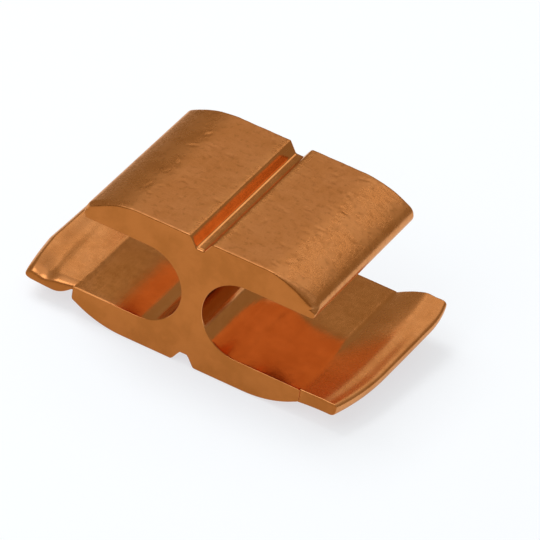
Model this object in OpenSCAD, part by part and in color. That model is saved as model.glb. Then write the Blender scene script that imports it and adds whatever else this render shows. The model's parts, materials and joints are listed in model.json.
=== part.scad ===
// Copper H-tap connector: one extruded piece with two wire grooves and two fold-over tabs.
// +X runs across the grooves, +Y along the conductors, +Z up. The origin is under its middle.

/* [Body] */
// Length along the conductors
body_l = 19.05; // [10:0.05:40]
// Thickness of the web between the two grooves
web_t = 2.3; // [1.5:0.1:5]
// Thickness of the lower arms under the grooves
lower_arm_t = 3; // [2.4:0.1:6]
// Thickness of the upper arms over the grooves
upper_arm_t = 3.2; // [2.6:0.1:6]

/* [Grooves] */
// Diameter of the round seat at the web, and height of the groove
groove_d = 8.2; // [5:0.1:14]
// Depth of a groove, from the web to the tip of the upper arm
groove_depth = 11.25; // [10:0.25:20]

/* [Shoulders] */
// Width of the rounded shoulder on each outer face, next to the arm's end
shoulder_run = 5.9; // [3:0.1:8]
// How far the shoulder falls from the flat pad to the arm's end
shoulder_drop = 1.8; // [0.6:0.1:2]
// Radius of the upper arm's tip
tip_r = 1.15; // [0.4:0.05:1.4]

/* [Middle notches] */
// Width of the notch where it opens on the pads
notch_w = 2.3; // [1.5:0.1:5]
// Width of the notch at its floor
notch_floor_w = 0.8; // [0.3:0.1:1.4]
// Depth of the notch
notch_depth = 1.15; // [0.5:0.05:1.8]
// Radius of the notch's rounded upper edges
notch_edge_r = 0.5; // [0.1:0.05:0.6]

/* [Tabs] */
// How much shorter the lower arms are than the upper ones
root_inset = 0.25; // [0:0.05:1]
// Width of the right tab at mid-length, from the lower arm's end to its outer edge
right_tab_w = 5.35; // [3:0.05:10]
// Width of the left tab at mid-length
left_tab_w = 5.4; // [3:0.05:10]
// How much wider the right tab is at its back than at its front
right_skew = 0.9; // [-1.5:0.05:1.5]
// How much wider the left tab is at its back than at its front
left_skew = -1.15; // [-1.5:0.05:1.5]
// Thickness of the tab near its outer edge
bead_t = 1.4; // [0.6:0.05:1.8]
// Height of the tab's crest over the groove floor at its front
front_lift = 0.05; // [0:0.05:1]
// Height of the tab's crest over the groove floor at its back
back_lift = 1.55; // [0.3:0.05:2.5]
// Depth of the score line along the tab's upper face
score_depth = 0.06; // [0:0.01:0.2]
// Step from the groove floor down to the tab's root
tab_step = 0.05; // [0.05:0.01:0.3]
// Distance from a tab's ends to the body's ends
end_gap = 0.1; // [0.05:0.05:1]

/* [Tab edges] */
// Width of the roll-over above the outer edge
roll_w = 0.9; // [0.3:0.05:1.2]
// Width of the rounding under the outer edge
under_w = 0.7; // [0.3:0.05:1.2]
// Width of a tab's clipped front corner
front_corner_w = 0.85; // [0.3:0.05:1.5]
// Length of the clipped front corner
front_corner_l = 4.8; // [1:0.1:7]
// Width of a tab's eased back corner
back_corner_w = 0.5; // [0.1:0.05:1]
// Length of the eased back corner
back_corner_l = 2.7; // [0.5:0.1:7]
// Length over which the right tab's upper face falls to its front end
right_nose_l = 2.6; // [0.3:0.1:4]
// Length over which the left tab's upper face falls to its front end
left_nose_l = 1.2; // [0.3:0.1:4]
// Length of the relief cut at the left tab's front root
relief_l = 1.4; // [0:0.1:2.5]
// Width of that relief cut
relief_w = 2.4; // [1:0.1:3]

/* [Hidden] */
$fn = 96;

groove_r = groove_d / 2;
groove_x = web_t / 2 + groove_r;
groove_z = lower_arm_t + groove_r;
groove_top = lower_arm_t + groove_d;
body_h = groove_top + upper_arm_t;
arm_reach = web_t / 2 + groove_depth;
pad_half = arm_reach - shoulder_run;
shoulder_r = (shoulder_run ^ 2 + shoulder_drop ^ 2) / (2 * shoulder_drop);
// Cutting shapes reach this far past what they cut
reach = 2 * arm_reach;

// The tip's circle touches the shoulder's arc from inside
shoulder_z = body_h - shoulder_r;
tip_x = arm_reach - tip_r;
tip_run = tip_x - pad_half;
tip_rise = sqrt((shoulder_r - tip_r) ^ 2 - tip_run ^ 2);
tip_z = shoulder_z + tip_rise;

root_x = arm_reach - root_inset;
// Height of the shoulder's arc at the lower arm's end
root_low = shoulder_r - sqrt(shoulder_r ^ 2 - (root_x - pad_half) ^ 2);
root_t = lower_arm_t - root_low - 2 * tab_step;
// Length of the tab's root inside the arm
root_embed = 0.6;
tab_l = body_l - 2 * end_gap;
// Stations across a tab, round each half of its rim and along it
across = 12;
rim_steps = 4;
along = 18;
// The crest's arc across the tab, in degrees, and how fast it rises at the root
crest_arc = 101;
crest_power = 0.9;
// Place and half-width of the score line, as shares of the tab's width
score_at = 0.5;
score_half = 0.06;
// Share of the tab's thickness in the roll-over
roll_share = 0.3;
// Exponents of the curves over and under the edge, where 2 is an ellipse
roll_power = 1.7;
under_power = 2.4;
// Share of the thickness lost at a tab's front end, next to the root and at the outer edge
right_nose = [0.65, 0.05];
left_nose = [0.85, 0.7];
// Steps round a notch's edge
edge_steps = 6;

// Outline of the pads and shoulders, as if the tips were not cut
module shoulders() {
    translate([-pad_half, 0]) square([2 * pad_half, body_h]);
    for (side = [-1, 1])
        intersection() {
            translate([side * pad_half, shoulder_z]) circle(shoulder_r);
            translate([side * pad_half, shoulder_r]) circle(shoulder_r);
        }
}

// The lower arms end in a straight cut
module lower_half() {
    intersection() {
        shoulders();
        translate([-root_x, 0]) square([2 * root_x, groove_z]);
    }
}

// The upper arm ends in a round tip, which starts where its circle leaves the shoulder
module upper_arm() {
    intersection() {
        shoulders();
        translate([0, groove_z]) square([reach, reach]);
        translate([pad_half, shoulder_z]) rotate(atan2(tip_rise, tip_run))
            translate([-reach, 0]) square([2 * reach, reach]);
    }
    translate([tip_x, tip_z]) circle(tip_r);
    translate([0, groove_z]) square([tip_x, tip_z - groove_z]);
}

// Round seat at the web, open at the side
module groove() {
    translate([groove_x, groove_z]) circle(groove_r);
    translate([groove_x, lower_arm_t]) square([reach, groove_d]);
}

// Tapered notch with rounded upper edges, cut down from z = 0
module notch() {
    lean = atan2(notch_depth, (notch_w - notch_floor_w) / 2);
    edge_x = notch_w / 2 + notch_edge_r * tan(lean / 2);
    half = concat(
        [[notch_floor_w / 2, -notch_depth]],
        [for (i = [edge_steps : -1 : 0])
            let (turn = 90 + lean * i / edge_steps)
            [edge_x, -notch_edge_r] + notch_edge_r * [cos(turn), sin(turn)]],
        [[edge_x, notch_depth]]
    );
    last = len(half) - 1;
    polygon(concat(half, [for (i = [last : -1 : 0]) [-half[i][0], half[i][1]]]));
}

module section() {
    difference() {
        union() {
            lower_half();
            upper_arm();
            mirror([1, 0]) upper_arm();
        }
        groove();
        mirror([1, 0]) groove();
        translate([0, body_h]) notch();
        mirror([0, 1]) notch();
    }
}

function mix(a, b, q) = a + (b - a) * q;
// Smooth step from 0 to 1
function ease(q) = let (c = min(1, max(0, q))) c * c * (3 - 2 * c);
// How much a corner of [width, length] takes off, at a distance from its end
function corner(size, at) = size[0] * (1 - ease(at / size[1]));
// Height of a tab's upper face over its root, at a share of its width and of its length
function tab_lift(s, v) =
    mix(front_lift, back_lift, v) * sin(crest_arc * s ^ crest_power)
    - score_depth * exp(-((s - score_at) / score_half) ^ 2);

// A rounded corner's way out and way up, at an angle from its top
function round_off(turn, power) = [sin(turn) ^ (2 / power), cos(turn) ^ (2 / power)];
// A point of the rim, from 0 on the upper face over 1 at the edge to 2 on the lower face,
// as its distance from the edge and its share of the thickness
function rim(at) =
    at < 1
    ? let (q = round_off(90 * at, roll_power)) [roll_w * (1 - q[0]), 1 - roll_share * (1 - q[1])]
    : let (q = round_off(180 - 90 * at, under_power)) [under_w * (1 - q[0]), (1 - roll_share) * (1 - q[1])];

// A tab on the right side, swept along its length.
// The skew widens it to the back, and the nose is how its front end falls.
module tab(tab_w, skew, relief, nose_l, nose) {
    front_corner = [front_corner_w, front_corner_l];
    back_corner = [back_corner_w, back_corner_l];
    width = function(v) tab_w + skew * (v - 0.5)
        - corner(front_corner, v * tab_l) - corner(back_corner, (1 - v) * tab_l);
    front = function(s) end_gap - body_l / 2 + relief * max(0, 1 - s * tab_w / relief_w);
    // One point of the skin, at a share of the width, of the length and of the thickness
    skin = function(s, v, share)
        let (thick = mix(root_t, bead_t, s))
        let (fallen = mix(nose[0], nose[1], ease(s)) * max(0, 1 - v * tab_l / nose_l) ^ 2)
        [root_x + s * width(v), mix(front(s), body_l / 2 - end_gap, v),
            lower_arm_t - tab_step + tab_lift(s, v) - thick + share * thick * (1 - fallen)];
    // One point of the root, inside the arm
    root = function(v, share)
        let (at = skin(0, v, share))
        [root_x - root_embed, at[1], at[2] + (1 - 2 * share) * tab_step];
    ring = function(v)
        let (w = width(v))
        concat(
            [root(v, 1)],
            [for (i = [0 : across - 1]) skin((1 - roll_w / w) * i / across, v, 1)],
            [for (i = [0 : 2 * rim_steps]) let (at = rim(i / rim_steps)) skin(1 - at[0] / w, v, at[1])],
            [for (i = [across - 1 : -1 : 0]) skin((1 - under_w / w) * i / across, v, 0)],
            [root(v, 0)]
        );
    half = across + rim_steps;
    n = 2 * half + 3;
    // Stations are closer together at both ends
    rings = [for (j = [0 : along]) ring((1 - cos(180 * j / along)) / 2)];
    walls = [for (j = [0 : along - 1], i = [0 : n - 1])
        let (k = (i + 1) % n)
        each [[j * n + i, (j + 1) * n + i, j * n + k], [j * n + k, (j + 1) * n + i, (j + 1) * n + k]]];
    caps = [for (i = [0 : half])
        let (a = i, b = i + 1, c = n - 1 - i, d = n - 2 - i, e = along * n)
        each [[a, b, c], [e + a, e + c, e + b],
            if (d > b) each [[b, d, c], [e + b, e + c, e + d]]]];
    polyhedron([for (r = rings) each r], concat(walls, caps), convexity = 4);
}

module tap_body() {
    color("peru") union() {
        rotate([90, 0, 0]) linear_extrude(body_l, center = true) section();
        tab(right_tab_w, right_skew, 0, right_nose_l, right_nose);
        mirror([1, 0, 0]) tab(left_tab_w, left_skew, relief_l, left_nose_l, left_nose);
    }
}

tap_body();
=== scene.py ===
"""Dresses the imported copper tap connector: its worn mesh, copper, floor, light and camera."""

import json
import math
from dataclasses import dataclass
from functools import reduce

import bmesh
import bpy
import numpy as np
from mathutils import Matrix, Vector


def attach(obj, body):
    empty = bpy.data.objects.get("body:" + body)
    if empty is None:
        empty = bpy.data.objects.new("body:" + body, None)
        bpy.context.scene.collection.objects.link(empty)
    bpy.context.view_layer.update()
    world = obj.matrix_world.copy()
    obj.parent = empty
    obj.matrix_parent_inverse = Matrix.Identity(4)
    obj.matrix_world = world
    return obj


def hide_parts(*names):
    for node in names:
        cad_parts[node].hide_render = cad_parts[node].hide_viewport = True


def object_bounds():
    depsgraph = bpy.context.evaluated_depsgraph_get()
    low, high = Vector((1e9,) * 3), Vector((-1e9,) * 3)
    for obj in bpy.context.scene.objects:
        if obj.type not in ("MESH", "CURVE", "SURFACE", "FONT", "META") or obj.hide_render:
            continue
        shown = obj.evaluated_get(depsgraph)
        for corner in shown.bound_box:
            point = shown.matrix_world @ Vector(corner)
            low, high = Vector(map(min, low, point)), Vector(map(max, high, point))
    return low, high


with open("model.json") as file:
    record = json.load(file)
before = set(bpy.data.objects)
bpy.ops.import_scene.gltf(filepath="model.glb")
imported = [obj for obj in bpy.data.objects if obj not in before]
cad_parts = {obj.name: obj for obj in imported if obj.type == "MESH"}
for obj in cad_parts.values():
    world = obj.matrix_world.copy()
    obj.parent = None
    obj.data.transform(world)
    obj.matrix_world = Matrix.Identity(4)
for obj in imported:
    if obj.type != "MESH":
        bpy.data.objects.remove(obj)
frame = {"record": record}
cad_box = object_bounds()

MM = 0.001
QUARTER_TURN = math.pi / 2
NODE = "tap_body"
BODY = "root"

# Section of the body, in millimetres
groove = next(m for m in frame["record"]["mounts"] if m["name"] == "right_groove")
GROOVE_R = groove["dims"]["r_mm"]
BODY_L = groove["dims"]["length_mm"]
GROOVE_X = groove["pos_m"][0] / MM
GROOVE_Z = groove["pos_m"][2] / MM
GROOVE_FLOOR = GROOVE_Z - GROOVE_R
GROOVE_TOP = GROOVE_Z + GROOVE_R
BODY_H = cad_box[1].z / MM
ARM_REACH = 12.4
SHOULDER_RUN = 5.9
SHOULDER_DROP = 1.8
SHOULDER_R = (SHOULDER_RUN**2 + SHOULDER_DROP**2) / (2 * SHOULDER_DROP)
PAD_HALF = ARM_REACH - SHOULDER_RUN
TIP_R = 1.15
NOTCH_W = 2.3
NOTCH_FLOOR_W = 0.8
NOTCH_DEPTH = 1.15
RIGHT_NOTCH_R = 0.4
LEFT_NOTCH_R = 0.1
ROOT_INSET = 0.25
ROOT_X = ARM_REACH - ROOT_INSET

# Both tabs, in millimetres: their length, their root inside the arm, thickness and rise to the back
TAB_END_GAP = 0.1
TAB_L = BODY_L - 2 * TAB_END_GAP
TAB_STEP = 0.05
ROOT_LOW = SHOULDER_R - math.sqrt(SHOULDER_R**2 - (ROOT_X - PAD_HALF) ** 2)
ROOT_T = GROOVE_FLOOR - ROOT_LOW - 2 * TAB_STEP
ROOT_RISE = 0.01
ROOT_EMBED = 0.6
ROOT_TAPER = 0.03
ROOT_DROP = 0.25
BEAD_T = 1.4
FRONT_LIFT = 0.05
BACK_LIFT = 1.5
LIFT_POWER = 1.35
CREST_ARC = math.radians(115)
CREST_POWER = 0.98
# Rounding under the outer edge, and the eased back corner as width, length and exponent
UNDER_W = 0.7
UNDER_POWER = 2.4
BACK_CORNER = (0.6, 3.6, 2.0)
# Widths of the relief cut and of the thin root at the front end, and how far back the front end reaches
RELIEF_W = 2.4
RELIEF_POWER = 1.6
THIN_W = 2.2
FRONT_L = 2.5


@dataclass
class Tab:
    """What sets one tab apart, in millimetres, with places across it as shares of its width."""

    name: str
    # 1 on the right and -1 on the left
    side: int
    # Width at mid-length, and how much wider the back is than the front
    width: float
    skew: float
    # Clipped front corner, as width, length and exponent
    corner: tuple
    # Roll-over above the outer edge, as width, share of the thickness and exponent
    roll: tuple
    # Ridge, valley and lip on the upper face as place and height, their half-width and share at the front
    waves: tuple
    wave_half: float
    wave_front: float
    # Rounding of the front end, as length and height
    front_round: tuple
    # Share of the thickness that the front end loses at the root and at the edge, and the fall's length
    nose: tuple = (0.0, 0.0)
    nose_l: float = 1.0
    # How much thicker the front end is in its middle, and how much thinner at its root
    belly: float = 0.0
    thin: float = 0.0
    # Length of the relief cut at the front root
    relief: float = 0.0


RIGHT_TAB = Tab(
    name="right_tab", side=1, width=5.33, skew=0.9, corner=(1.0, 7.0, 2.0), roll=(0.45, 0.22, 2.0),
    waves=((0.60, 0.04), (0.77, -0.11)), wave_half=0.12, wave_front=0.3, front_round=(0.12, 0.12),
)
LEFT_TAB = Tab(
    name="left_tab", side=-1, width=5.42, skew=-1.15, corner=(0.85, 5.2, 1.12), roll=(0.7, 0.42, 1.5),
    waves=((0.38, 0.07), (0.61, -0.14), (0.86, 0.19)), wave_half=0.18, wave_front=1.2,
    front_round=(1.0, 0.55), nose=(0.05, 0.34), nose_l=3.6, belly=0.15, thin=1.1, relief=0.4,
)

# Mesh spacing, in millimetres, and the heights between which it turns from plain to close
FINE = 0.02
PAD_SPACING = 0.17
PLAIN_SPACING = 0.45
CORNER_SPACING = 0.05
STATION_SPACING = 0.17
CLOSE_Z = (GROOVE_TOP + 0.3, GROOVE_TOP + 0.9)
# Turn between points on a curve, in radians, and the bend per millimetre that counts as straight
BEND_STEP = 0.22
STRAIGHT = 1e-6
# Points on each side over which a change of spacing is spread
SPREAD = 20
# Steps round an end's edge, and across, round the edge of and along a tab
ROUND_STEPS = 6
TAB_ACROSS = 36
TAB_EDGE_STEPS = 14
TAB_ALONG = 110
# Edges over this angle stay sharp, and faces that look along the length this squarely are flat
SHARP_ANGLE = math.radians(40)
END_FACE = 0.9995

# Wear, in millimetres: softened corners, the radii round the end faces and the trimmed left arm
CORNER_SOFT = 0.05
EDGE_R = 0.10
FLOOR_EDGE_R = 0.05
END_EDGE_R = 0.03
TOP_EDGE_R = 0.18
RIGHT_TIP_R = 0.75
LEFT_TIP_R = 0.45
TAB_END_R = 0.12
LEFT_TRIM = 0.2
# Places between which the radii of the upper faces, arm tips, groove floors and lower arms' ends set in
TOP_WEAR_Z = (GROOVE_TOP + 0.5, GROOVE_TOP + 1.1)
TIP_WEAR_X = (7.0, 12.0)
FLOOR_WEAR_X = GROOVE_X - 2
FLOOR_WEAR_REACH = (0.4, 0.2)
END_WEAR_X = (ROOT_X - 0.2, ROOT_X - 0.05)
# Unevenness of the upper faces' radius: its share, and its waves
WOBBLE_SHARE = 0.2
WOBBLE_SCALE = 2.3
WOBBLE_STEP = 0.73
WOBBLE_WAVES = 5
WOBBLE_SEED = 3

# Handling dents on the upper pads, in millimetres: ranges of their places, half sizes and depths
DENTS = 100
DENT_SEED = 7
DENT_X = (1.8, 9.0)
DENT_Y = (-8.6, 8.6)
DENT_LENGTH = (0.22, 0.7)
DENT_WIDTH = (0.14, 0.24)
DENT_DEPTH = (0.008, 0.040)
# Height, place and width of a dent's raised rim, as shares of the dent
RIM_HEIGHT = 0.4
RIM_AT = 1.5
RIM_WIDTH = 0.5
# Upward share of the normal, and height, between which dents set in
DENT_TILT = (0.7, 0.9)
DENT_Z = (GROOVE_TOP + 1.5, GROOVE_TOP + 2.0)


def mix(a, b, q):
    return a + (b - a) * q


def smooth(q):
    q = np.clip(q, 0, 1)
    return q * q * (3 - 2 * q)


def ramp(value, low, high):
    """Runs smoothly from 0 to 1 while the value goes from low to high."""
    return smooth((value - low) / (high - low))


def line(start, end):
    """Points along a straight stretch, without its last point."""
    n = max(2, int(math.dist(start, end) / FINE))
    q = np.linspace(0, 1, n, endpoint=False)[:, None]
    return mix(np.array(start), np.array(end), q)


def arc(centre, r, start, end):
    """Points along an arc between two angles in radians, without its last point."""
    n = max(2, int(abs(end - start) * r / FINE))
    a = np.linspace(start, end, n, endpoint=False)
    return np.array(centre) + r * np.stack([np.cos(a), np.sin(a)], 1)


def lower_notch(edge_r):
    """Right half of the lower notch, from its middle to the pad, with a rounded edge."""
    lean = math.atan2(NOTCH_DEPTH, (NOTCH_W - NOTCH_FLOOR_W) / 2)
    edge = (NOTCH_W / 2 + edge_r * math.tan(lean / 2), edge_r)
    start = -QUARTER_TURN - lean
    wall_end = (edge[0] + edge_r * math.cos(start), edge[1] + edge_r * math.sin(start))
    corner = (NOTCH_FLOOR_W / 2, NOTCH_DEPTH)
    return np.concatenate([
        line((0, NOTCH_DEPTH), corner),
        line(corner, wall_end),
        arc(edge, edge_r, start, -QUARTER_TURN),
        line((edge[0], 0), (PAD_HALF, 0)),
    ])


def right_half(notch_r):
    """The right half of the section's outline in x and z, from its lower to its upper notch."""
    low = (PAD_HALF, SHOULDER_R)
    high = (PAD_HALF, BODY_H - SHOULDER_R)
    tip_x = ARM_REACH - TIP_R
    tip_z = high[1] + math.sqrt((SHOULDER_R - TIP_R) ** 2 - (tip_x - PAD_HALF) ** 2)
    tangent = math.atan2(tip_z - high[1], tip_x - high[0])
    inner = -math.asin((tip_z - GROOVE_TOP) / TIP_R)
    inner_x = tip_x + TIP_R * math.cos(inner)
    end = -math.acos((ROOT_X - PAD_HALF) / SHOULDER_R)
    end_z = low[1] + SHOULDER_R * math.sin(end)
    notch = lower_notch(notch_r)
    return np.concatenate([
        notch,
        arc(low, SHOULDER_R, -QUARTER_TURN, end),
        line((ROOT_X, end_z), (ROOT_X, GROOVE_FLOOR)),
        line((ROOT_X, GROOVE_FLOOR), (GROOVE_X, GROOVE_FLOOR)),
        arc((GROOVE_X, GROOVE_Z), GROOVE_R, 3 * QUARTER_TURN, QUARTER_TURN),
        line((GROOVE_X, GROOVE_TOP), (inner_x, GROOVE_TOP)),
        arc((tip_x, tip_z), TIP_R, inner, tangent),
        arc(high, SHOULDER_R, tangent, QUARTER_TURN),
        [[PAD_HALF, BODY_H]],
        (notch * [1, -1] + [0, BODY_H])[::-1],
    ])


def sharp_outline():
    """The section's outline, counterclockwise, with sharp corners."""
    left = right_half(LEFT_NOTCH_R)[-2:0:-1] * [-1, 1]
    return np.concatenate([right_half(RIGHT_NOTCH_R), left])


def lengths(loop):
    """Distance from each point of a closed loop to the next."""
    return np.linalg.norm(np.roll(loop, -1, 0) - loop, axis=1)


def even(loop, n):
    """The closed loop again, with n points at even spacing."""
    at = np.concatenate([[0], np.cumsum(lengths(loop))])
    closed = np.concatenate([loop, loop[:1]])
    want = np.linspace(0, at[-1], n, endpoint=False)
    return np.stack([np.interp(want, at, closed[:, i]) for i in range(2)], 1)


def soften(loop, sigma):
    """Rounds a loop of even spacing by a Gaussian of the given width."""
    freq = np.fft.fftfreq(len(loop), lengths(loop).mean())
    keep = np.exp(-2 * (math.pi * sigma * freq) ** 2)[:, None]
    return np.fft.ifft(np.fft.fft(loop, axis=0) * keep, axis=0).real


def point_spacing(loop):
    """Spacing that each stretch of a fine loop needs: close on the upper faces and in tight curves."""
    ahead = np.roll(loop, -1, 0) - loop
    angle = np.unwrap(np.arctan2(ahead[:, 1], ahead[:, 0]))
    bend = np.abs(np.gradient(angle)) / FINE
    plain = mix(PLAIN_SPACING, PAD_SPACING, ramp(loop[:, 1], *CLOSE_Z))
    spacing = np.minimum(plain, BEND_STEP / np.maximum(bend, STRAIGHT))
    spacing = np.maximum(spacing, CORNER_SPACING)
    kernel = np.hanning(2 * SPREAD + 1)
    padded = np.concatenate([spacing[-SPREAD:], spacing, spacing[:SPREAD]])
    return np.convolve(padded, kernel / kernel.sum(), "valid")


def outline():
    """The section with worn corners and a trimmed left arm, sampled as closely as it needs."""
    loop = sharp_outline()
    loop = soften(even(loop, int(lengths(loop).sum() / FINE)), CORNER_SOFT)
    count = np.cumsum(lengths(loop) / point_spacing(loop))
    want = np.linspace(0, count[-1], int(count[-1]), endpoint=False)
    loop = np.stack([np.interp(want, count, loop[:, i]) for i in range(2)], 1)
    trimmed = ramp(-loop[:, 0], PAD_HALF, ARM_REACH) * ramp(loop[:, 1], GROOVE_Z, GROOVE_TOP)
    loop[:, 0] += LEFT_TRIM * trimmed
    return loop


def outward(loop):
    """Unit normals of a counterclockwise loop."""
    along = np.roll(loop, -1, 0) - np.roll(loop, 1, 0)
    along /= np.linalg.norm(along, axis=1)[:, None]
    return np.stack([along[:, 1], -along[:, 0]], 1)


def wobble(x):
    """Smooth noise along a line, from about -1 to 1."""
    phases = np.random.default_rng(WOBBLE_SEED).uniform(0, 2 * math.pi, WOBBLE_WAVES)
    scales = [WOBBLE_SCALE * (1 + WOBBLE_STEP * i) for i in range(WOBBLE_WAVES)]
    return sum(np.sin(x * scales[i] + phases[i]) / (1 + i) for i in range(WOBBLE_WAVES)) / 2


def dents(x, y):
    """Height of small handling dents on the upper pads, with raised rims."""
    rng = np.random.default_rng(DENT_SEED)
    height = np.zeros_like(x)
    for _ in range(DENTS):
        at = (rng.choice([-1, 1]) * rng.uniform(*DENT_X), rng.uniform(*DENT_Y))
        turn = rng.uniform(0, math.pi)
        half = (rng.uniform(*DENT_LENGTH), rng.uniform(*DENT_WIDTH))
        depth = rng.uniform(*DENT_DEPTH)
        lengthwise = (x - at[0]) * math.cos(turn) + (y - at[1]) * math.sin(turn)
        crosswise = (y - at[1]) * math.cos(turn) - (x - at[0]) * math.sin(turn)
        away = np.hypot(lengthwise / half[0], crosswise / half[1])
        rim = RIM_HEIGHT * np.exp(-(((away - RIM_AT) / RIM_WIDTH) ** 2))
        height += depth * (rim - np.exp(-(away**2)))
    return height


def edge_radius(loop, front):
    """Radius of the worn edge round an end face, at each point of the outline."""
    x, z = loop.T
    out = np.abs(x)
    top = ramp(z, *TOP_WEAR_Z)
    radius = mix(EDGE_R, TOP_EDGE_R * (1 + WOBBLE_SHARE * wobble(x)), top)
    if front:
        radius += top * ramp(out, *TIP_WEAR_X) * np.where(x > 0, RIGHT_TIP_R, LEFT_TIP_R)
        floor = (out > FLOOR_WEAR_X) * ramp(np.abs(z - GROOVE_FLOOR), *FLOOR_WEAR_REACH)
        radius = mix(radius, FLOOR_EDGE_R, floor)
        end = ramp(out, *END_WEAR_X) * (z < GROOVE_FLOOR)
        radius = mix(radius, END_EDGE_R, end)
    return radius


def tube_quads(n, rows):
    """Faces between rows of n points, each row a closed ring."""
    i = np.arange(n)
    k = (i + 1) % n
    band = np.stack([i, k, n + k, n + i], 1)
    return np.concatenate([band + j * n for j in range(rows - 1)])


def body_mesh():
    """Lofts the outline from end to end, with worn edges at both end faces."""
    loop = outline()
    normal = outward(loop)
    front, back = edge_radius(loop, True), edge_radius(loop, False)
    turn = np.linspace(QUARTER_TURN, 0, ROUND_STEPS + 1)
    rings = [(front * (1 - math.cos(a)), front * (1 - math.sin(a)) - BODY_L / 2) for a in turn]
    for along in np.linspace(0, 1, int(BODY_L / STATION_SPACING) + 1)[1:-1]:
        rings.append((0 * front, mix(front - BODY_L / 2, BODY_L / 2 - back, along)))
    rings += [(back * (1 - math.cos(a)), BODY_L / 2 - back * (1 - math.sin(a))) for a in turn[::-1]]
    inset, y = (np.array(part) for part in zip(*rings))
    x = loop[:, 0] - inset * normal[:, 0]
    z = loop[:, 1] - inset * normal[:, 1]
    upper = ramp(normal[:, 1], *DENT_TILT) * ramp(loop[:, 1], *DENT_Z)
    z = np.minimum(z + upper * dents(x, y), BODY_H)
    n, rows = len(loop), len(rings)
    faces = tube_quads(n, rows).tolist()
    faces.append(list(range(n)))
    faces.append(list(range(rows * n - 1, (rows - 1) * n - 1, -1)))
    return make_mesh("body", np.stack([x, y, z], 2), faces)


def round_fall(q):
    """How far a quarter circle of radius 1 falls, from 1 at its edge to 0 a radius away."""
    return 1 - np.sqrt(1 - np.clip(1 - q, 0, 1) ** 2)


def corner_cut(size, at):
    """How much a corner of (width, length, exponent) takes off a tab, at a distance from its end."""
    return size[0] * np.clip(1 - at / size[1], 0, 1) ** size[2]


def tab_ring(tab, width):
    """Points round a tab's section, as shares of its width and of its thickness."""
    flat = np.linspace(0, 1, TAB_ACROSS + 1)[None, :-1]
    turn = np.linspace(0, QUARTER_TURN, TAB_EDGE_STEPS + 1)[None, :]
    roll_w, roll_share, roll_power = tab.roll
    roll_out, roll_up = np.sin(turn) ** (2 / roll_power), np.cos(turn) ** (2 / roll_power)
    under_out, under_up = np.cos(turn) ** (2 / UNDER_POWER), np.sin(turn) ** (2 / UNDER_POWER)
    roll, under = roll_w / width, UNDER_W / width
    across = np.concatenate([
        flat * (1 - roll),
        (1 - roll + roll * roll_out)[:, :-1],
        1 - under + under * under_out,
        flat[:, ::-1] * (1 - under),
    ], 1)
    share = np.concatenate([
        1 + 0 * flat,
        mix(1 - roll_share, 1, roll_up)[:, :-1],
        (1 - roll_share) * (1 - under_up),
        0 * flat,
    ], 1)
    return across, share


def tab_thickness(tab, across, along):
    """Thickness at shares of a tab's width and length."""
    thick = mix(ROOT_T, BEAD_T, across) + ROOT_DROP * ((1 - across) * (1 - along)) ** 2
    belly = tab.belly * np.sin(math.pi * across)
    thin = tab.thin * np.clip(1 - across * tab.width / THIN_W, 0, 1) ** 2
    return thick + (belly - thin) * np.exp(-((along * TAB_L / FRONT_L) ** 2))


def tab_waves(tab, across, along):
    """Height of the ridge, valley and lip that run along a tab's upper face."""
    height = sum(h * np.exp(-(((across - c) / tab.wave_half) ** 2)) for c, h in tab.waves)
    return height * mix(tab.wave_front, 1, along)


def tab_fall(tab, across, at, thick):
    """How far the cut pulled the upper face down at a tab's front end."""
    length, height = tab.front_round
    pulled = mix(*tab.nose, smooth(across)) * thick * np.clip(1 - at / tab.nose_l, 0, 1) ** 2
    return pulled + height * round_fall(at / length)


def tab_mesh(tab):
    """A fold-over tab, as a closed shell whose root lies inside the lower arm."""
    along = (1 - np.cos(np.linspace(0, math.pi, TAB_ALONG + 1)))[:, None] / 2
    at = along * TAB_L
    worn = TAB_END_R * round_fall(np.minimum(at, TAB_L - at) / TAB_END_R)
    width = tab.width + tab.skew * (along - 0.5)
    width = width - corner_cut(tab.corner, at) - corner_cut(BACK_CORNER, TAB_L - at)
    across, share = tab_ring(tab, width)
    thick = tab_thickness(tab, across, along)
    crest = mix(FRONT_LIFT, BACK_LIFT, along**LIFT_POWER) * np.sin(CREST_ARC * across**CREST_POWER)
    upper = thick - tab_fall(tab, across, at, thick) + tab_waves(tab, across, along)
    relief = tab.relief * np.clip(1 - across * tab.width / RELIEF_W, 0, 1) ** RELIEF_POWER
    x = ROOT_X + across * (width - worn)
    y = mix(TAB_END_GAP - BODY_L / 2 + relief, BODY_L / 2 - TAB_END_GAP, along)
    z = GROOVE_FLOOR + ROOT_RISE + crest - thick + worn + share * (upper - 2 * worn)
    root_x = np.full_like(along, ROOT_X - ROOT_EMBED)
    x = np.concatenate([root_x, x, root_x], 1)
    y = np.concatenate([y[:, :1], y, y[:, -1:]], 1)
    z = np.concatenate([z[:, :1] - ROOT_TAPER, z, z[:, -1:] + ROOT_TAPER], 1)
    reach = cad_box[1].x if tab.side > 0 else -cad_box[0].x
    x = np.minimum(x, reach / MM)
    rows, n = x.shape
    i = np.arange((n - 1) // 2)
    cap = np.stack([i, i + 1, n - 2 - i, n - 1 - i], 1)
    faces = np.concatenate([tube_quads(n, rows), cap, cap[:, ::-1] + (rows - 1) * n]).tolist()
    faces = [list(dict.fromkeys(f)) for f in faces]
    return make_mesh(tab.name, np.stack([tab.side * x, y, z], 2), faces)


def make_mesh(name, points, faces):
    """A mesh from rows of points in millimetres, with its faces turned outwards."""
    mesh = bpy.data.meshes.new(name)
    mesh.from_pydata((points.reshape(-1, 3) * MM).tolist(), [], faces)
    mesh.validate()
    bm = bmesh.new()
    bm.from_mesh(mesh)
    bmesh.ops.recalc_face_normals(bm, faces=bm.faces)
    bm.to_mesh(mesh)
    bm.free()
    return mesh


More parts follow.
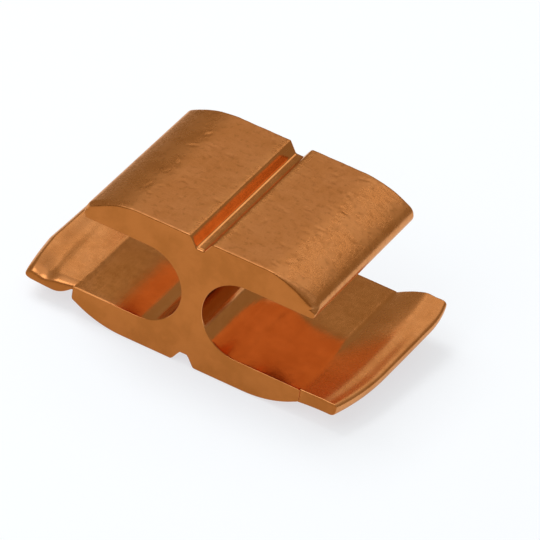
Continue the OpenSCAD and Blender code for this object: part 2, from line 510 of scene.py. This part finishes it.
def place(name, data):
    """A new object in the scene, with a mesh, lamp or camera as its data."""
    piece = bpy.data.objects.new(name, data)
    bpy.context.scene.collection.objects.link(piece)
    return piece


def connector():
    """The body and both tabs, joined into one closed mesh."""
    piece = place("connector", body_mesh())
    shells = [place(tab.name, tab_mesh(tab)) for tab in (RIGHT_TAB, LEFT_TAB)]
    for shell in shells:
        join = piece.modifiers.new(shell.name, "BOOLEAN")
        join.operation = "UNION"
        join.solver = "MANIFOLD"
        join.object = shell
    graph = bpy.context.evaluated_depsgraph_get()
    joined = bpy.data.meshes.new_from_object(piece.evaluated_get(graph))
    piece.modifiers.clear()
    piece.data = joined
    for shell in shells:
        bpy.data.objects.remove(shell)
    joined.shade_smooth()
    joined.set_sharp_from_angle(angle=SHARP_ANGLE)
    for face in joined.polygons:
        face.use_smooth = abs(face.normal.y) < END_FACE
    return piece


class Nodes:
    """Adds shader nodes to a tree and wires their inputs."""

    def __init__(self, tree):
        self.tree = tree
        tree.nodes.clear()

    def feed(self, socket, value):
        if isinstance(value, bpy.types.NodeSocket):
            self.tree.links.new(value, socket)
        else:
            socket.default_value = value

    def add(self, kind, inputs=None, **settings):
        node = self.tree.nodes.new(kind)
        for key, value in settings.items():
            setattr(node, key, value)
        for key, value in (inputs or {}).items():
            self.feed(node.inputs[key], value)
        return node

    def math(self, operation, *values):
        return self.add("ShaderNodeMath", dict(enumerate(values)), operation=operation).outputs[0]

    def total(self, *values):
        return reduce(lambda a, b: self.math("ADD", a, b), values)

    def product(self, *values):
        return reduce(lambda a, b: self.math("MULTIPLY", a, b), values)

    def rest(self, mask):
        """What a mask leaves out."""
        return self.math("SUBTRACT", 1.0, mask)

    def span(self, value, low, high, start=0.0, end=1.0):
        """Runs smoothly from start to end while the value goes from low to high."""
        inputs = {"Value": value, "From Min": low, "From Max": high, "To Min": start, "To Max": end}
        return self.add("ShaderNodeMapRange", inputs, interpolation_type="SMOOTHSTEP").outputs["Result"]

    def blend(self, factor, a, b):
        """Goes from colour a to colour b with the factor, by the sockets that a Mix node has for colours."""
        node = self.add("ShaderNodeMix", data_type="RGBA")
        for socket, value in ((0, factor), (6, a), (7, b)):
            self.feed(node.inputs[socket], value)
        return node.outputs[2]

    def noise(self, vector, scale=1.0, detail=4.0, roughness=0.6):
        inputs = {"Vector": vector, "Scale": scale, "Detail": detail, "Roughness": roughness}
        return self.add("ShaderNodeTexNoise", inputs).outputs["Fac"]

    def stretch(self, vector, scale, turn=0.0):
        inputs = {"Vector": vector, "Scale": scale, "Rotation": (0, 0, turn)}
        return self.add("ShaderNodeMapping", inputs).outputs["Vector"]

    def millimetres(self, vector):
        return self.stretch(vector, (1 / MM, 1 / MM, 1 / MM))

    def split(self, vector):
        return self.add("ShaderNodeSeparateXYZ", {0: vector}).outputs


# Colours of the copper's skin and of its cut ends, each from dark to pale, and of streaks and flecks. The
# cut ends' darker colours are their own tone and also painted shade for the dim surroundings they face
SKIN = ((0.630, 0.255, 0.086, 1), (0.690, 0.295, 0.110, 1))
CUT_END_TONE_AND_SHADE = ((0.410, 0.134, 0.027, 1), (0.475, 0.158, 0.035, 1))
STREAK = (0.76, 0.36, 0.16, 1)
FLECK = (0.40, 0.145, 0.040, 1)
# Tint of reflections at grazing angles
EDGE_TINT = (0.95, 0.82, 0.68, 1)
# Roughness in the grooves and on the pads, and what the other areas and marks add to it
GROOVE_ROUGH = 0.08
PAD_ROUGH = 0.22
FLAT_ROUGH = 0.15
TAB_ROUGH = 0.17
CUT_ROUGH = 0.14
FLECK_ROUGH = 0.05
BLOTCH_ROUGH = 0.07
# Shares of the drawn lines and scuffs in the relief, the mean of what marks the pads, and the bump
DRAWN_RELIEF = 0.3
SCUFF_RELIEF = 0.5
MARK_MEAN = 0.75
BUMP_STRENGTH = 0.5
BUMP_DEPTH = 0.04 * MM
# Scales of the noises, per millimetre
BLOTCH_SCALE = 0.35
FLECK_SCALE = 1.6
DRAWN_SCALE = (8.0, 0.15, 8.0)
SCUFF_SCALE = (0.7, 10.0, 3.0)
SCUFF_TURN = math.radians(35)
# Noise values between which each mark sets in, and the strongest that streaks and flecks get
BLOTCH_RANGE = (0.35, 0.65)
STREAK_RANGE = (0.5, 0.8)
STREAK_MOST = 0.25
FLECK_RANGE = (0.52, 0.75)
FLECK_MOST = {"skin": 0.12, "pads": 0.5}
FLECK_ROUGH_RANGE = (0.3, 0.7)
# Places between which the finish changes, in millimetres, and the normal's share along Y at the cut
PAD_Z = (GROOVE_TOP + 0.4, GROOVE_TOP + 1.0)
RIGHT_PAD_X = (0.9, 1.4)
LEFT_PAD_X = (-1.2, -1.0)
FLAT_START = (1.5, 2.3)
FLAT_END = (6.2, 8.2)
RIGHT_TAB_X = (12.1, 12.8)
LEFT_TAB_X = (-12.12, -11.95)
CUT_NORMAL = (0.75, 0.95)


def copper():
    """Satin copper: drawn skin, a duller cut at both ends whose darker colour is partly painted shade,
    bright grooves and scuffed pads.
    """
    material = bpy.data.materials.new("copper")
    material.use_nodes = True
    nodes = Nodes(material.node_tree)
    where = nodes.add("ShaderNodeTexCoord").outputs
    mm = nodes.millimetres(where["Object"])
    x, _, z = nodes.split(mm)
    across = nodes.math("ABSOLUTE", x)

    cut = nodes.span(nodes.math("ABSOLUTE", nodes.split(where["Normal"])["Y"]), *CUT_NORMAL)
    beside = nodes.total(nodes.span(x, *RIGHT_PAD_X), nodes.span(x, *LEFT_PAD_X, 1.0, 0.0))
    pads = nodes.product(nodes.span(z, *PAD_Z), beside, nodes.rest(cut))
    flats = nodes.product(nodes.span(across, *FLAT_START), nodes.span(across, *FLAT_END, 1.0, 0.0), pads)
    sides = nodes.math("MAXIMUM", nodes.span(x, *LEFT_TAB_X, 1.0, 0.0), nodes.span(x, *RIGHT_TAB_X))
    tabs = nodes.product(sides, nodes.rest(pads))

    blotch = nodes.span(nodes.noise(mm, BLOTCH_SCALE, detail=5.0), *BLOTCH_RANGE)
    fleck = nodes.noise(mm, FLECK_SCALE, detail=3.0)
    drawn = nodes.noise(nodes.stretch(mm, DRAWN_SCALE))
    scuff = nodes.noise(nodes.stretch(mm, SCUFF_SCALE, SCUFF_TURN))

    spots = nodes.span(pads, 0.0, 1.0, FLECK_MOST["skin"], FLECK_MOST["pads"])
    spots = nodes.product(nodes.span(fleck, *FLECK_RANGE), spots)
    tone = nodes.blend(blotch, *SKIN)
    tone = nodes.blend(nodes.span(drawn, *STREAK_RANGE, 0.0, STREAK_MOST), tone, STREAK)
    tone = nodes.blend(spots, tone, FLECK)
    # The cut ends' colour: their own darker tone, and painted shade for the dim surroundings that they face
    tone = nodes.blend(cut, tone, nodes.blend(blotch, *CUT_END_TONE_AND_SHADE))

    rough = nodes.total(
        nodes.span(pads, 0.0, 1.0, GROOVE_ROUGH, PAD_ROUGH),
        nodes.product(flats, FLAT_ROUGH),
        nodes.product(tabs, TAB_ROUGH),
        nodes.span(fleck, *FLECK_ROUGH_RANGE, 0.0, FLECK_ROUGH),
        nodes.product(blotch, pads, BLOTCH_ROUGH),
        nodes.product(cut, CUT_ROUGH),
    )
    marks = nodes.math("SUBTRACT", nodes.total(nodes.product(scuff, SCUFF_RELIEF), fleck), MARK_MEAN)
    relief = nodes.total(nodes.product(drawn, DRAWN_RELIEF), nodes.product(marks, pads))
    bump = nodes.add("ShaderNodeBump", {"Height": relief, "Strength": BUMP_STRENGTH, "Distance": BUMP_DEPTH})

    shader = nodes.add("ShaderNodeBsdfPrincipled", {
        "Base Color": tone,
        "Metallic": 1.0,
        "Specular Tint": EDGE_TINT,
        "Roughness": rough,
        "Normal": bump.outputs["Normal"],
    })
    nodes.add("ShaderNodeOutputMaterial", {"Surface": shader.outputs["BSDF"]})
    return material


# The floor in metres, and the painted pool of light round the part, in millimetres, where the floor's glow
# fades out
FLOOR_SIZE = 3.0
FLOOR_GAP = 0.05 * MM
FLOOR_GLOW = 0.64
GLOW_COLOUR = (0.96, 1.0, 1.06, 1)
PAPER_COLOUR = (0.32, 0.335, 0.35, 1)
LIGHT_POOL_CENTRE = (-3.0, 8.0, 0.0)
LIGHT_POOL_R = (130.0, 200.0)


def floor_material():
    """White paper: it shows white to the camera and in reflections, and still takes the part's shadow. Its
    glow is a painted pool of light round the part that fades out further away.
    """
    material = bpy.data.materials.new("floor")
    material.use_nodes = True
    nodes = Nodes(material.node_tree)
    path = nodes.add("ShaderNodeLightPath").outputs
    seen = nodes.math("MAXIMUM", path["Is Camera Ray"], path["Is Glossy Ray"])
    seen = nodes.math("MAXIMUM", seen, path["Is Transmission Ray"])
    mm = nodes.millimetres(nodes.add("ShaderNodeTexCoord").outputs["Object"])
    away = nodes.add("ShaderNodeVectorMath", {0: mm, 1: LIGHT_POOL_CENTRE}, operation="DISTANCE")
    # Painted pool of light: the glow that makes the paper white fades out between these distances from the
    # part
    painted_light_pool = nodes.span(away.outputs["Value"], *LIGHT_POOL_R, FLOOR_GLOW, 0.0)
    glow = nodes.add("ShaderNodeEmission", {"Color": GLOW_COLOUR, "Strength": nodes.product(seen, painted_light_pool)})
    paper = nodes.add("ShaderNodeBsdfDiffuse", {"Color": PAPER_COLOUR})
    both = nodes.add("ShaderNodeAddShader", {0: glow.outputs[0], 1: paper.outputs[0]})
    nodes.add("ShaderNodeOutputMaterial", {"Surface": both.outputs[0]})
    return material


def make_floor():
    half = FLOOR_SIZE / 2
    corners = [(-half, -half, 0), (half, -half, 0), (half, half, 0), (-half, half, 0)]
    mesh = bpy.data.meshes.new("floor")
    mesh.from_pydata(corners, [], [(0, 1, 2, 3)])
    mesh.materials.append(floor_material())
    floor = place("floor", mesh)
    floor.location.z = -FLOOR_GAP


# Light of the studio round the part, by the sine of the elevation
STUDIO = (
    (0.6, (0.36, 0.30, 0.19)),
    (0.86, (0.50, 0.46, 0.38)),
    (0.95, (0.90, 0.85, 0.76)),
    (1.0, (0.95, 0.90, 0.82)),
)


def make_world():
    """A dim room with a pale ceiling."""
    world = bpy.data.worlds.new("studio")
    bpy.context.scene.world = world
    world.use_nodes = True
    nodes = Nodes(world.node_tree)
    up = nodes.split(nodes.add("ShaderNodeTexCoord").outputs["Generated"])["Z"]
    ramp_node = nodes.add("ShaderNodeValToRGB", {"Fac": up})
    stops = ramp_node.color_ramp.elements
    for sine, _ in STUDIO[len(stops):]:
        stops.new(sine)
    for stop, (sine, colour) in zip(stops, STUDIO):
        stop.position = sine
        stop.color = (*colour, 1)
    back = nodes.add("ShaderNodeBackground", {"Color": ramp_node.outputs["Color"], "Strength": 1.0})
    nodes.add("ShaderNodeOutputWorld", {"Surface": back.outputs[0]})


def direction(azimuth, elevation):
    """From the part outwards, by angles in degrees. Azimuth 0 is towards -Y, and 90 towards +X."""
    a, e = math.radians(azimuth), math.radians(elevation)
    return Vector((math.sin(a) * math.cos(e), -math.cos(a) * math.cos(e), math.sin(e)))


# Distance of the lamps in metres, and the strips' warm colour
LAMP_DISTANCE = 0.6
WARM = (1, 0.97, 0.90)


def soft_box(name, azimuth, elevation, size, radiance, colour=(1, 1, 1)):
    """An area lamp of a size in metres that looks at the part from a direction in degrees."""
    out = direction(azimuth, elevation)
    lamp = bpy.data.lights.new(name, "AREA")
    lamp.shape = "RECTANGLE"
    lamp.size, lamp.size_y = size
    lamp.energy = radiance * math.pi * size[0] * size[1]
    lamp.color = colour
    piece = place(name, lamp)
    piece.location = out * LAMP_DISTANCE
    piece.rotation_euler = out.to_track_quat("Z", "Y").to_euler()
    return piece


def make_lamps():
    soft_box("low_strip", azimuth=192, elevation=43.3, size=(0.62, 0.063), radiance=0.96, colour=WARM)
    soft_box("high_strip", azimuth=192, elevation=50.8, size=(0.62, 0.094), radiance=0.48, colour=WARM)
    soft_box("front_box", azimuth=-28, elevation=48, size=(0.35, 0.35), radiance=1.8)
    # The last lamp only draws the shadow on the floor
    shadow = soft_box("shadow_box", azimuth=255, elevation=60, size=(0.35, 0.35), radiance=5.6)
    shadow.visible_glossy = False


# The photograph's viewing angle, in degrees, with the point at the middle of the picture
AZIMUTH = 23.38
ELEVATION = 36.60
ROLL = 9.75
AIM = Vector((3.31, -0.55, 7.2)) * MM
DISTANCE = 0.5557
LENS = 400.0
SENSOR = 36.0


def make_camera():
    back = direction(AZIMUTH, ELEVATION)
    data = bpy.data.cameras.new("camera")
    data.lens = LENS
    data.sensor_width = SENSOR
    camera = place("camera", data)
    move = Matrix.Translation(AIM + back * DISTANCE)
    turn = back.to_track_quat("Z", "Y").to_matrix().to_4x4()
    roll = Matrix.Rotation(math.radians(ROLL), 4, "Z")
    camera.matrix_world = move @ turn @ roll
    bpy.context.scene.camera = camera


piece = connector()
piece.data.materials.clear()
piece.data.materials.append(copper())
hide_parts(NODE)
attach(piece, BODY)

make_floor()
make_world()
make_lamps()
make_camera()
bpy.context.scene.view_settings.view_transform = "Standard"
